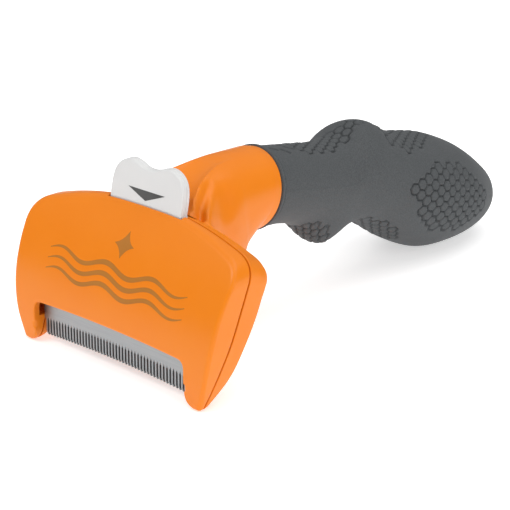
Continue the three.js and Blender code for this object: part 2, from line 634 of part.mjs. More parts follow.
function grip() {
  // the stations draw together towards the round end
  const rings = Array.from({ length: GRIP_STATIONS + 1 }, (_, i) => {
    const share = 1 - (1 - i / GRIP_STATIONS) ** 1.5;
    return gripRing(GAP / 2 + (GRIP_END - GAP / 2) * share, 1, 0, 28);
  });
  const mouth = rod(onAxis(-2, 0, 0), onAxis(CORE_START + 3, 0, 0), SOCKET_RADIUS, SOCKET_RADIUS, 24);
  addPiece('grip', loft(rings).subtract(coreBody(GAP)).subtract(mouth), rubber);
}

function handleCore() {
  const tenonEnd = onAxis(CORE_START + 2, 0, 0);
  const tenon = rod(onAxis(-SOCKET_DEPTH + 1, 0, 0), tenonEnd, TENON_RADIUS, TENON_RADIUS, 24);
  let body = coreBody(0).add(tenon);
  CORE_SCREW_PLACES.forEach((along) => {
    const up = coreMiddle(along);
    const right = CORE_SCREW.length / 2;
    const across = (x) => onAxis(along, x, up);
    const seat = right - CORE_SCREW.headDeep - GAP;
    body = body.subtract(rod(across(-right - 0.6), across(right + 0.6), CORE_SCREW.shank + GAP));
    body = body.subtract(rod(across(seat), across(40), CORE_SCREW.head + GAP));
  });
  const well = (up) => onAxis(-HANDLE_SCREW_AHEAD, 0, up);
  body = body.subtract(rod(well(-20), well(1.5), INSERT_RADIUS + GAP));
  addPiece('handle_core_left', body.subtract(box([-GAP / 2, -50, -50], [60, 300, 200])), blackPlastic);
  addPiece('handle_core_right', body.subtract(box([-60, -50, -50], [GAP / 2, 300, 200])), blackPlastic);
}

function coreMiddle(along) {
  return along < CORE_START + 11 ? 0 : (readAt(GRIP_TOP, along) + readAt(GRIP_LOW, along)) / 2;
}

function handleFasteners() {
  CORE_SCREW_PLACES.forEach((along, i) => {
    const start = onAxis(along, CORE_SCREW.length / 2, coreMiddle(along));
    screw(`core_screw_${i + 1}`, start, [-1, 0, 0], CORE_SCREW);
  });
  const level = (up) => onAxis(-HANDLE_SCREW_AHEAD, 0, up);
  const insert = rod(level(-8.4), level(1), INSERT_RADIUS)
    .subtract(rod(level(-9.5), level(0.2), HANDLE_SCREW.shank + GAP / 2));
  addPiece('handle_insert', insert, brass);
  const start = onAxis(-HANDLE_SCREW_AHEAD, 0, -HANDLE_SCREW_SEAT - HANDLE_SCREW.headDeep - GAP);
  const up = [0, -AXIS_Z, AXIS_Y];
  screw('handle_screw', start, up, HANDLE_SCREW);
}

// ---- assembly ----
frontCover();
rearHousing();
blade();
bladeClamp();
BLADE_SCREW_PLACES.forEach((x, i) => {
  const start = [x, CLAMP_FRONT + CLAMP_THICK + GAP / 2 + BLADE_SCREW.headDeep, BLADE_SCREW_HEIGHT];
  screw(`blade_screw_${i + 1}`, start, [0, -1, 0], BLADE_SCREW);
});
HOUSING_SCREW_PLACES.forEach(([x, z], i) => {
  screw(`housing_screw_${i + 1}`, [x, housingScrewHead(z), z], [0, -1, 0], HOUSING_SCREW);
});
ejectorBar();
ejectorLink();
rivets();
button();
returnSprings();
handleCore();
handleFasteners();
grip();

export default tool;
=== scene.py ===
"""Deshedding tool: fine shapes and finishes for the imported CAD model.

Shapes are drawn in the head's own millimetres, x across, y back from the skids' tips and z up from the
table, and each finished piece is then carried into the row frame in metres."""

import math

import bmesh
import bpy
import numpy as np
from mathutils import Matrix, Vector
from mathutils.geometry import delaunay_2d_cdt


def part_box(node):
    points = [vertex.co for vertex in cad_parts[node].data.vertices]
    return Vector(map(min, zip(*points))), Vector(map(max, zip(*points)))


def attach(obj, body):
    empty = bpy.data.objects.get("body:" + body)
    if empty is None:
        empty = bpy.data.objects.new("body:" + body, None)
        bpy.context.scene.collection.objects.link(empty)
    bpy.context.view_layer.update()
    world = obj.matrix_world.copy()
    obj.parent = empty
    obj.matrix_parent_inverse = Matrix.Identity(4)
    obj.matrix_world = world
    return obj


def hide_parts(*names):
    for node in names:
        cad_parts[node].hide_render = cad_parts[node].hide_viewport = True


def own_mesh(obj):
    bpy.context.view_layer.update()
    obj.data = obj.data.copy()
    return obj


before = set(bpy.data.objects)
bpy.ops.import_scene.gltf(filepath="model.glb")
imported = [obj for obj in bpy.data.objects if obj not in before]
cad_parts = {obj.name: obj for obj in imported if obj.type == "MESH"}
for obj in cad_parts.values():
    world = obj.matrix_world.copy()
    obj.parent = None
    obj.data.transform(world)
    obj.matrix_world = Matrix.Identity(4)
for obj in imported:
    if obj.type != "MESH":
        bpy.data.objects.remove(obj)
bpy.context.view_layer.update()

MM = 0.001
FACE_REACH = 0.8                     # how far the face bulges ahead of the skids' tips
ORIGIN_Y = -(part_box("front_cover")[0].y / MM + FACE_REACH)

# ---- driving dimensions, in millimetres ----
GAP = 0.3                            # between neighbouring pieces
SEAM_GAP = 0.32                      # from the seam's middle to each shell
WALL = 2.2                           # thickness of the shells
CUT_PAST = 4.0                       # how far a cutter reaches past the seam
HEAD_TOP = 51.8                      # height of the arch in its middle
ARCH_END = (39.8, 46.0)              # where the arch runs into the round corner
CORNER = (46.4, 44.0)                # the point that the round corner is drawn towards
# the head's side as (half width, height), then its face, seam and back as (depth, height)
SIDE = [(39.9, 0), (42.7, 10), (44.3, 20), (45.1, 30), (45.7, 37.5)]
FACE_LINE = [(0, 0), (-0.8, 10), (0.1, 20), (2.9, 30), (8, 40), (15.8, 50), (18.6, 53)]
SEAM_LINE = [(1.7, 0), (4.9, 10), (8.9, 20), (12.4, 30), (15.6, 40), (18.9, 50), (19.9, 53)]
BACK_LINE = [(3.3, 0), (11, 7.8), (16.3, 18), (21.5, 30), (24.2, 42), (26, 53)]
WINDOW_HALF = 33.7
WINDOW_TOP = (14.9, 15.7)            # height of the front shell's window at its sides and in its middle
BACK_EDGE = (12.2, 13.0)             # the same for the rear shell's lower edge
SKID_BLOCK = 9.0                     # the skids are solid up to this height

BLADE_FRONT, BLADE_THICK, BLADE_HALF, BLADE_TOP = 3.2, 1.2, 33.3, 23.2
TOOTH_COUNT, TOOTH_LENGTH, SLOT_SHARE = 47, 6.6, 0.46
TOOTH_TIP = (1.8, 2.9)               # height of the tips at the blade's ends and in its middle
TIP_BEVEL = 1.3                      # height of the ground bevel at a tooth's tip
SLOT_POINT = 1.1                     # height of the pointed end of a slot
BLADE_HOLES, BLADE_HOLE_UP, BLADE_HOLE = (-25, 0, 25), 21.5, 1.3

EJECTOR_TRAVEL = 11.5
BUTTON_FRONT, BUTTON_THICK = 17.1, 3.1
BUTTON_LEAN, LEAN_START = 0.2, 51.0  # how far the button leans back per millimetre above this height
BUTTON_HALF, BUTTON_LOW = 15.6, 44.4
BUTTON_OVER = 70.0                   # the shaft's cutter reaches up past the button to here
BUTTON_EDGE = [(15.6, 50), (15.7, 54), (15.4, 57.5), (14.5, 60.2), (12.3, 62.5), (8.9, 63.7), (5.6, 63.2),
               (2.7, 62.2), (0, 61.85)]
BUTTON_ROUND = 0.5                   # rounding of the button's edges
PAD_LOW = 49.2                       # the thumb pad ends and the thinner stem starts below this height
STEM_BACK = 20.7
SHAFT_ROOM, SHAFT_FRONT = 0.6, 0.4   # free space beside and ahead of the button
RIVET_BACK = 24.1                    # the room behind the button's stem reaches back to here
LINK_ROOM = [(17.6, 24.9), (23.1, 30.9), (RIVET_BACK, 32.1)]    # the room that the link bends through
TOP_FALL, FALL_START, FALL_FADE = 0.5, 32.0, 12.0    # slope of the rear shell's top behind the seam

SPRING_LOW, SPRING_HIGH, SPRING_TURNS = 16.0, 34.0, 7
SPRING_RADIUS, SPRING_WIRE = 1.9, 0.3                # of the coil's middle line, and of its wire
SPRING_X, SPRING_Y = 24, 10.8

HOUSING_SCREWS = [(-38.6, 15), (38.6, 15), (-39.4, 37), (39.4, 37)]
SCREW_SUNK, SCREW_HOLE = 5.3, 2.7    # depth and radius of the holes that their heads stand in

AXIS_TILT = math.radians(13.8)
AXIS_Y, AXIS_Z = math.cos(AXIS_TILT), -math.sin(AXIS_TILT)
COLLAR_CENTRE = (65.1, 45.0)
COLLAR_RADIUS, SOCKET_RADIUS, SOCKET_DEPTH = 14.0, 9.4, 15.0
HANDLE_HOLE = 3.2                    # radius of the hole for the handle's screw, from below
HANDLE_HOLE_TOP, HANDLE_HOLE_LOW = (-7, 0, -11), (-7, 0, -30)


# ---- curves ----
def spline(points, count=200):
    """Points along a Catmull-Rom curve through the given points."""
    p = np.array(points, float)
    last = len(p) - 1
    t = np.linspace(0, last, count + 1)
    i = np.minimum(t.astype(int), last - 1)
    w = (t - i)[:, None]
    before, here, there, after = p[np.maximum(i - 1, 0)], p[i], p[i + 1], p[np.minimum(i + 2, last)]
    v0, v1 = (there - before) / 2, (after - here) / 2
    cubic, square = 2 * here - 2 * there + v0 + v1, 3 * there - 3 * here - 2 * v0 - v1
    return cubic * w**3 + square * w**2 + v0 * w + here


def reader(points, swap=False):
    """A function that reads the curve's second value at its first one."""
    line = spline(points)
    if swap:
        line = line[:, ::-1]
    return lambda value: np.interp(value, line[:, 0], line[:, 1])


face_y = reader(FACE_LINE, swap=True)
seam_y = reader(SEAM_LINE, swap=True)
back_y = reader(BACK_LINE, swap=True)


def bend(a, b, c, count=10):
    """A quadratic curve from a to c, drawn towards b, without its first point."""
    t = np.linspace(0, 1, count + 1)[1:, None]
    a, b, c = (np.array(p, float) for p in (a, b, c))
    return [tuple(p) for p in (1 - t) ** 2 * a + 2 * t * (1 - t) * b + t**2 * c]


def even(points, step):
    """The closed outline again, with its points at even spacing."""
    p = np.array(list(points) + [points[0]], float)
    run = np.r_[0, np.cumsum(np.linalg.norm(np.diff(p, axis=0), axis=1))]
    at = np.linspace(0, run[-1], int(run[-1] / step) + 1)[:-1]
    return np.stack([np.interp(at, run, p[:, k]) for k in range(2)], 1)


def mirrored(half):
    """A closed outline from its right half, which runs from x = 0 to x = 0."""
    return list(half) + [(-x, z) for x, z in reversed(half[1:-1])]


# ---- meshes ----
def new_object(name, verts, faces):
    mesh = bpy.data.meshes.new(name)
    mesh.from_pydata([tuple(map(float, v)) for v in verts], [], [tuple(map(int, f)) for f in faces])
    mesh.update()
    obj = bpy.data.objects.new(name, mesh)
    bpy.context.scene.collection.objects.link(obj)
    return obj


def clean(obj, sharp=32):
    """Closes tiny cracks, turns the faces outward and marks the sharp edges."""
    bm = bmesh.new()
    bm.from_mesh(obj.data)
    bmesh.ops.remove_doubles(bm, verts=bm.verts, dist=1e-4)
    bmesh.ops.dissolve_degenerate(bm, edges=bm.edges, dist=1e-4)
    bmesh.ops.recalc_face_normals(bm, faces=bm.faces)
    for f in bm.faces:
        f.smooth = True
    for e in bm.edges:
        e.smooth = e.is_manifold and e.calc_face_angle(0) < math.radians(sharp)
    bm.to_mesh(obj.data)
    bm.free()
    return obj


def place(obj, material, body="root", nodes=(), weighted=True):
    """Carries a finished piece into the row frame and hangs it on its body."""
    obj.data.transform(Matrix.Scale(MM, 4) @ Matrix.Translation((0, -ORIGIN_Y, 0)))
    obj.data.materials.clear()
    obj.data.materials.append(material)
    if weighted:
        normals = obj.modifiers.new("even_shading", "WEIGHTED_NORMAL")
        normals.keep_sharp = True
    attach(obj, body)
    if nodes:
        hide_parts(*nodes)
    return obj


def cut(target, tool, operation="DIFFERENCE"):
    """Joins or cuts target with tool, which is used up."""
    step = target.modifiers.new("cut", "BOOLEAN")
    step.object, step.operation, step.solver = tool, operation, "EXACT"
    bpy.context.view_layer.update()
    made = bpy.data.meshes.new_from_object(target.evaluated_get(bpy.context.evaluated_depsgraph_get()))
    target.modifiers.clear()
    target.data = made
    bpy.data.objects.remove(tool)
    return target


def inside(points, outline):
    """Which points lie inside the closed outline."""
    x, z = points[:, :1], points[:, 1:]
    x0, z0 = outline[:, 0], outline[:, 1]
    x1, z1 = np.roll(x0, -1), np.roll(z0, -1)
    rise = np.where(z1 == z0, 1e-12, z1 - z0)
    crosses = ((z0 > z) != (z1 > z)) & (x < (x1 - x0) * (z - z0) / rise + x0)
    return crosses.sum(1) % 2 == 1


def fill(ring, pitch):
    """Triangles over a flat outline, with inner points about a pitch apart. Returns both."""
    low, high = ring.min(0), ring.max(0)
    rows = np.arange(low[1], high[1], pitch * 0.87)
    columns = np.arange(low[0], high[0], pitch)
    grid = np.array([(x + (k % 2) * pitch / 2, z) for k, z in enumerate(rows) for x in columns])
    grid = grid[inside(grid, ring)] if len(grid) else np.zeros((0, 2))
    if len(grid):
        near = np.array([np.hypot(*(ring - p).T).min() for p in grid])
        grid = grid[near > pitch * 0.55]
    count = len(ring)
    points = [Vector(p) for p in ring] + [Vector(p) for p in grid]
    edges = [(i, (i + 1) % count) for i in range(count)]
    _, _, faces, origin, _, _ = delaunay_2d_cdt(points, edges, [], 1, 1e-6)
    same = [o[0] if o else None for o in origin]
    return grid, [[same[i] for i in f] for f in faces if all(same[i] is not None for i in f)]


def quarter(radius, steps=5):
    """Insets and depths of a rounded edge, from the face to the side."""
    turns = [math.pi / 2 * i / steps for i in range(steps + 1)]
    return [(radius * (1 - math.sin(a)), radius * (1 - math.cos(a))) for a in turns]


def plate(name, outline, front, back, front_edge=((0, 0),), back_edge=((0, 0),), share=None, pitch=1.6,
          walls=2):
    """A closed body whose front view is the outline, between two depths that are read at (x, z).
    The edges are lists of inset and depth, and share scales them at each point of the outline."""
    ahead, behind = np.roll(outline, -1, 0), np.roll(outline, 1, 0)
    run = ahead - behind
    run /= np.linalg.norm(run, axis=1, keepdims=True) + 1e-9
    inward = np.stack([-run[:, 1], run[:, 0]], 1)
    scale = np.ones(len(outline)) if share is None else share
    thick = back(outline[:, 0], outline[:, 1]) - front(outline[:, 0], outline[:, 1])
    deep = front_edge[-1][1] + back_edge[-1][1]
    scale = np.minimum(scale, 0.9 * thick / max(deep, 1e-6))[:, None]

    def ring(inset, depth, surface, sign):
        at = outline + inward * inset * scale
        y = surface(at[:, 0], at[:, 1]) + sign * depth * scale[:, 0]
        return np.stack([at[:, 0], y, at[:, 1]], 1)

    rings = [ring(i, d, front, 1) for i, d in front_edge]
    last = [ring(i, d, back, -1) for i, d in back_edge]
    rings += [rings[-1] + (last[-1] - rings[-1]) * k / (walls + 1) for k in range(1, walls + 1)]
    rings += last[::-1]
    count = len(outline)
    verts = np.concatenate(rings)
    faces = []
    for r in range(len(rings) - 1):
        for i in range(count):
            j = (i + 1) % count
            faces.append((r * count + i, (r + 1) * count + i, (r + 1) * count + j, r * count + j))
    for which, surface, turn in ((0, front, 1), (len(rings) - 1, back, -1)):
        inner, triangles = fill(rings[which][:, [0, 2]], pitch)
        start = len(verts)
        if len(inner):
            y = surface(inner[:, 0], inner[:, 1])
            verts = np.concatenate([verts, np.stack([inner[:, 0], y, inner[:, 1]], 1)])
        for f in triangles:
            faces.append([which * count + i if i < count else start + i - count for i in f][::turn])
    return new_object(name, verts, faces)


def rings_body(name, rings):
    """A closed body through rings of equal size."""
    count = len(rings[0])
    verts = list(np.concatenate(rings))
    faces = []
    for r in range(len(rings) - 1):
        for i in range(count):
            j = (i + 1) % count
            faces.append((r * count + i, r * count + j, (r + 1) * count + j, (r + 1) * count + i))
    for which in (0, len(rings) - 1):
        verts.append(np.mean(rings[which], 0))
        faces += [(len(verts) - 1, which * count + i, which * count + (i + 1) % count) for i in range(count)]
    return clean(new_object(name, verts, faces))


def prism_faces(count):
    """The faces of a prism whose two ends have count points each."""
    ends = [list(range(count)), list(range(count, 2 * count))]
    return ends + [(i, (i + 1) % count, count + (i + 1) % count, count + i) for i in range(count)]


def rod(start, end, radius, sides=48):
    """A round cutter between two points."""
    start, end = Vector(start), Vector(end)
    turn = (end - start).to_track_quat("Z", "Y")
    angles = np.linspace(0, 2 * math.pi, sides + 1)[:-1]
    ring = [Vector((radius * math.cos(a), radius * math.sin(a), 0)) for a in angles]
    return rings_body("cutter", [np.array([turn @ p + at for p in ring]) for at in (start, end)])


def on_axis(along, across, up):
    """A point along, across and up from the handle's axis."""
    y = COLLAR_CENTRE[0] + along * AXIS_Y - up * AXIS_Z
    z = COLLAR_CENTRE[1] + along * AXIS_Z + up * AXIS_Y
    return across, y, z


# ---- the head's outlines ----
def window_half(edge):
    """The right half of the window's edge, from its middle to the skid's sole."""
    side, middle = edge
    half = WINDOW_HALF
    points = [(0, middle)]
    points += bend((0, middle), ((half - 3) / 2, middle), (half - 3, side), 30)
    points += bend((half - 3, side), (half, side), (half, side - 3), 8)
    points += bend((half, 5), (half + 0.2, 0.3), (half + 3.4, 0), 8)
    return points


def outer_half(inset=0.0):
    """The right half of the head's outline, from the skid's sole to the middle of the arch."""
    line = spline(SIDE, 60)
    line = [(x - inset, z) for x, z in line if z > 1.6]
    foot = (line[0][0] - 1.7, 0)
    arch = (ARCH_END[0] - inset * 0.7, ARCH_END[1] - inset)
    corner = (CORNER[0] - inset, CORNER[1] - inset)
    crown = HEAD_TOP - inset
    points = [foot] + bend(foot, (line[0][0] - 0.4, 0), line[0], 6) + line[1:]
    points += bend(line[-1], corner, arch, 16)
    # half of the arch, whose slope is level in the middle
    points += bend(arch, (arch[0] / 2, crown), (0, crown), 40)
    return points


def shell_outline(edge):
    """The whole outline with the window, and how much of the edge rounding each point takes."""
    outline = even(mirrored(window_half(edge) + outer_half()), 0.5)
    x, z = np.abs(outline[:, 0]), outline[:, 1]
    window = (x < WINDOW_HALF + 0.05) & (z < edge[1] + 0.05)
    blend = np.clip((x - WINDOW_HALF - 0.05) / 3.0, 0, 1)
    share = np.where(window, 0.3, np.where(z < 5, 0.3 + 0.7 * blend, 1.0))
    return outline, share


def cavity_outline():
    """The hollow of the shells: open below between the skids, a wall inside the outline."""
    low = [(0, -3), (WINDOW_HALF - 0.2, -3), (WINDOW_HALF - 0.2, SKID_BLOCK)]
    high = [(x, z) for x, z in outer_half(WALL) if z > SKID_BLOCK]
    return even(mirrored(low + [(high[0][0], SKID_BLOCK)] + high), 1.2)


# ---- materials ----
def nodes_of(name):
    material = bpy.data.materials.new(name)
    material.use_nodes = True
    tree = material.node_tree
    shader = tree.nodes["Principled BSDF"]
    where = tree.nodes.new("ShaderNodeTexCoord")
    return material, tree, shader, where.outputs["Object"]


def texture(tree, where, kind, scale, **settings):
    """A procedural texture on the object's own metres, with its scale per metre."""
    node = tree.nodes.new(kind)
    tree.links.new(where, node.inputs["Vector"])
    node.inputs["Scale"].default_value = scale
    for key, value in settings.items():
        node.inputs[key].default_value = value
    return node


def ramp(tree, source, stops):
    """A colour ramp over a texture's value."""
    node = tree.nodes.new("ShaderNodeValToRGB")
    tree.links.new(source, node.inputs["Fac"])
    bar = node.color_ramp
    while len(bar.elements) < len(stops):
        bar.elements.new(0.5)
    for element, (at, colour) in zip(bar.elements, stops):
        element.position = at
        element.color = (*colour, 1)
    return node.outputs["Color"]


def span(tree, source, low, high):
    """A noise value, which seldom leaves the middle of its range, carried to the range from low to high."""
    node = tree.nodes.new("ShaderNodeMapRange")
    tree.links.new(source, node.inputs["Value"])
    node.inputs["From Min"].default_value, node.inputs["From Max"].default_value = 0.3, 0.7
    node.inputs["To Min"].default_value, node.inputs["To Max"].default_value = low, high
    return node.outputs["Result"]


def bump(tree, shader, source, strength, distance):
    node = tree.nodes.new("ShaderNodeBump")
    node.inputs["Strength"].default_value = strength
    node.inputs["Distance"].default_value = distance
    tree.links.new(source, node.inputs["Height"])
    tree.links.new(node.outputs["Normal"], shader.inputs["Normal"])


def moulded(name, colour, other, rough, depth=0.00001, specular=0.4):
    """Moulded plastic: cloudy colour, uneven gloss and a very fine skin."""
    material, tree, shader, where = nodes_of(name)
    cloud = texture(tree, where, "ShaderNodeTexNoise", 70, Detail=3.0)
    shade = ramp(tree, cloud.outputs["Fac"], [(0.3, colour), (0.75, other)])
    tree.links.new(shade, shader.inputs["Base Color"])
    wear = texture(tree, where, "ShaderNodeTexNoise", 260, Detail=4.0)
    tree.links.new(span(tree, wear.outputs["Fac"], *rough), shader.inputs["Roughness"])
    shader.inputs["Specular IOR Level"].default_value = specular
    skin = texture(tree, where, "ShaderNodeTexNoise", 1400, Detail=2.0)
    bump(tree, shader, skin.outputs["Fac"], 0.25, depth)
    return material


def grip_rubber():
    """Grey rubber with a fine matt grain and small pale specks."""
    material, tree, shader, where = nodes_of("grip_rubber")
    cloud = texture(tree, where, "ShaderNodeTexNoise", 45, Detail=4.0)
    speck = texture(tree, where, "ShaderNodeTexNoise", 2200, Detail=2.0)
    mix = tree.nodes.new("ShaderNodeMix")
    mix.data_type = "RGBA"
    mix.inputs["Factor"].default_value = 0.45
    clouded = ramp(tree, cloud.outputs["Fac"], [(0.3, (0.066, 0.071, 0.075)), (0.7, (0.08, 0.085, 0.089))])
    specked = ramp(tree, speck.outputs["Fac"], [(0.35, (0.056, 0.061, 0.064)), (0.65, (0.104, 0.111, 0.115))])
    tree.links.new(clouded, mix.inputs["A"])
    tree.links.new(specked, mix.inputs["B"])
    tree.links.new(mix.outputs["Result"], shader.inputs["Base Color"])
    tree.links.new(span(tree, cloud.outputs["Fac"], 0.66, 0.78), shader.inputs["Roughness"])
    shader.inputs["Specular IOR Level"].default_value = 0.3
    shader.inputs["Sheen Weight"].default_value = 0.04
    grain = texture(tree, where, "ShaderNodeTexNoise", 3200, Detail=3.0)
    bump(tree, shader, grain.outputs["Fac"], 0.5, 0.00005)
    return material


def metal(name, colour, other, rough, stretch):
    """Metal with fine marks drawn out along one direction."""
    material, tree, shader, where = nodes_of(name)
    shader.inputs["Metallic"].default_value = 1.0
    mapping = tree.nodes.new("ShaderNodeMapping")
    mapping.inputs["Scale"].default_value = stretch
    tree.links.new(where, mapping.inputs["Vector"])
    marks = texture(tree, mapping.outputs["Vector"], "ShaderNodeTexNoise", 900, Detail=6.0, Roughness=0.7)
    shade = ramp(tree, marks.outputs["Fac"], [(0.3, colour), (0.7, other)])
    tree.links.new(shade, shader.inputs["Base Color"])
    tree.links.new(span(tree, marks.outputs["Fac"], *rough), shader.inputs["Roughness"])
    bump(tree, shader, marks.outputs["Fac"], 0.3, 0.000004)
    return material


ORANGE = moulded("orange_plastic", (0.86, 0.222, 0.0045), (0.87, 0.232, 0.006), (0.3, 0.38), specular=0.3)
WHITE = moulded("white_plastic", (0.72, 0.72, 0.715), (0.76, 0.76, 0.755), (0.3, 0.42))
BLACK = moulded("black_plastic", (0.022, 0.023, 0.025), (0.032, 0.033, 0.035), (0.45, 0.6), depth=0.00003)
RUBBER = grip_rubber()
ALONG_BLADE = (0.06, 1.0, 2.2)
STEEL = metal("brushed_blade_steel", (0.29, 0.305, 0.315), (0.37, 0.385, 0.395), (0.36, 0.5), ALONG_BLADE)
SPRING = metal("spring_wire", (0.38, 0.39, 0.4), (0.5, 0.51, 0.52), (0.25, 0.4), (1.0, 1.0, 0.4))
ZINC = metal("zinc_plate", (0.5, 0.5, 0.48), (0.6, 0.6, 0.58), (0.3, 0.5), (1.0, 1.0, 1.0))
BRASS = metal("turned_brass", (0.6, 0.42, 0.16), (0.7, 0.52, 0.22), (0.25, 0.4), (0.3, 1.0, 1.0))
FACE_PRINT = moulded("face_print", (0.43, 0.155, 0.012), (0.47, 0.175, 0.018), (0.5, 0.6))
DARK_PRINT = moulded("dark_print", (0.07, 0.07, 0.07), (0.09, 0.09, 0.088), (0.45, 0.55))
# painted shade: this dark steel on the slot walls stands in for the shade in the gaps between the teeth
PAINTED_SLOT_SHADE = metal("painted_slot_shade", (0.09, 0.095, 0.1), (0.13, 0.136, 0.14), (0.5, 0.65), ALONG_BLADE)


# ---- front shell ----
def front_shell():
    outline, share = shell_outline(WINDOW_TOP)
    body = plate("front_shell", outline, lambda x, z: face_y(z), lambda x, z: seam_y(z) - SEAM_GAP,
                 quarter(1.35, 6), quarter(0.3, 3), share)
    clean(body)
    inner = lambda x, z: face_y(z) + WALL
    open_side = lambda x, z: seam_y(z) + CUT_PAST
    hollow = plate("hollow", cavity_outline(), inner, open_side, pitch=3)
    cut(body, clean(hollow))
    cut(body, button_shaft())
    return place(clean(body), ORANGE, nodes=["front_cover"])


# ---- rear shell with its neck and collar ----
# from inside the head back to the collar: top, widest and low points (depth, height), half width, and
# squareness above and below the widest points
NECK = [
    (21, 48, 17.2, 30.3, 13.5, 12.5, 23, 0.5, 0.5),
    (26, 51, 22.2, 33.3, 20, 13, 21, 0.5, 0.5),
    (29.5, 54.5, 27.2, 37, 27.5, 14.5, 18.9, 0.6, 0.55),
    (34, 57.4, 33, 40.6, 36.5, 16.5, 17, 0.75, 0.6),
    (41, 58.9, 40.8, 43.2, 46.5, 20, 15.8, 0.9, 0.6),
    (47, 59.5, 46, 44.2, 50.5, 24, 14.8, 0.95, 0.65),
    (52, 59.8, 50.5, 44.9, 53, 27.5, 14.2, 1, 0.75),
]
FILLET = (3.4, 4.6)                  # how far the neck spreads over the head's back, and over what depth
FILLET_TOP, FILLET_FADE = 50.0, 5.0
RELIEF_LOW, RELIEF_FADE = 44.0, 3.0  # the scoop's relief starts at this height
RIDGE = [(26, 12), (28.4, 10), (33.2, 8.2), (38.3, 6.3), (44.5, 4.6), (50, 4.4), (56, 5)]
SCOOP = [(26, 4.2), (30, 4.1), (35, 2.9), (40, 1.9), (45, 1.0), (50, 0.4), (55, 0.0)]
VALLEY = [(24, 3.6), (28, 3.2), (33, 1.8), (38, 0)]    # groove along the outside of the scoop's ridges
VALLEY_AWAY, VALLEY_WIDE = 3.4, 2.2
HOLLOW_AT = (38.0, 50.0)             # middle of the hollow on each flank, depth and height
HOLLOW = (2.2, 6.0)                  # its depth and its reach


def neck_points(station, angles):
    top_y, top_z, mid_y, mid_z, low_y, low_z, width, above, below = station
    rise = np.sin(angles)
    square = np.where(rise > 0, above, below)
    share = np.abs(rise) ** square
    y = mid_y + share * (np.where(rise > 0, top_y, low_y) - mid_y)
    z = mid_z + share * (np.where(rise > 0, top_z, low_z) - mid_z)
    return np.stack([-width * np.sign(np.cos(angles)) * np.abs(np.cos(angles)) ** square, y, z], 1)


def neck_relief(points):
    """Spreads the neck over the head's back, and presses in the thumb scoop and the two flank hollows."""
    x, y, z = points.T.copy()
    middle = np.array([0, np.mean(y), np.mean(z)])
    out = points - middle
    out /= np.linalg.norm(out, axis=1, keepdims=True)
    spread, over = FILLET
    away = np.clip((y - back_y(z)) / over, 0, 1)
    amount = spread * (1 - np.sqrt(1 - (1 - away) ** 2 * 0.999))
    amount *= np.clip((FILLET_TOP - z) / FILLET_FADE, 0, 1)
    x, y, z = (points + out * amount[:, None] * np.array([1, 0, 1])).T
    half = np.interp(y, *np.array(RIDGE).T)
    deep = np.interp(y, *np.array(SCOOP).T)
    over_axis = np.clip((z - RELIEF_LOW) / RELIEF_FADE, 0, 1)
    z = z - deep * np.clip(1 - (x / half) ** 2, 0, 1) ** 0.8 * over_axis
    valley = np.interp(y, *np.array(VALLEY).T) * (y > 22)
    z = z - valley * np.exp(-(((np.abs(x) - half - VALLEY_AWAY) / VALLEY_WIDE) ** 2)) * over_axis
    depth, reach = HOLLOW
    hollow = depth * np.exp(-(((y - HOLLOW_AT[0]) / reach) ** 2) - ((z - HOLLOW_AT[1]) / reach) ** 2)
    hollow *= np.clip((np.abs(x) - half) / 2.5, 0, 1)
    return np.stack([x - np.sign(x) * hollow, y, z - 0.25 * hollow], 1)


def neck_body():
    collar = []
    for along, shrink in ((-3.0, 0), (-0.4, 0), (-GAP / 2, 0.3)):
        radius = COLLAR_RADIUS - shrink
        _, top_y, top_z = on_axis(along, 0, radius)
        _, low_y, low_z = on_axis(along, 0, -radius)
        _, mid_y, mid_z = on_axis(along, 0, 0)
        collar.append((top_y, top_z, mid_y, mid_z, low_y, low_z, radius, 1, 1))
    stations = spline(NECK + collar[:1], 90)
    angles = np.linspace(0, 2 * np.pi, 161)[:-1]
    rings = [neck_relief(neck_points(s, angles)) for s in stations]
    rings += [neck_points(s, angles) for s in collar[1:]]
    return rings_body("neck", rings)


def button_shaft():
    """The slot that the button and its link slide in."""
    front = BUTTON_FRONT - SHAFT_FRONT

    def lean_at(y):
        return LEAN_START - EJECTOR_TRAVEL + (y - BUTTON_FRONT - BUTTON_THICK - SHAFT_ROOM) / BUTTON_LEAN

    over_back = RIVET_BACK + (BUTTON_OVER - lean_at(RIVET_BACK)) * BUTTON_LEAN
    side = [(front, BUTTON_LOW - EJECTOR_TRAVEL - 1), *LINK_ROOM, (RIVET_BACK, lean_at(RIVET_BACK)),
            (over_back, BUTTON_OVER), (front, BUTTON_OVER)]
    half = BUTTON_HALF + SHAFT_ROOM
    verts = [(x, y, z) for x in (-half, half) for y, z in side]
    n = len(side)
    return clean(new_object("shaft", verts, prism_faces(n)))


def lowered(obj):
    """Lets the upper part of the rear shell fall away behind the seam."""
    for v in obj.data.vertices:
        behind = v.co.y - float(seam_y(v.co.z)) - GAP
        if behind > 0:
            v.co.z -= TOP_FALL * behind * min(max((v.co.z - FALL_START) / FALL_FADE, 0), 1)
    return obj


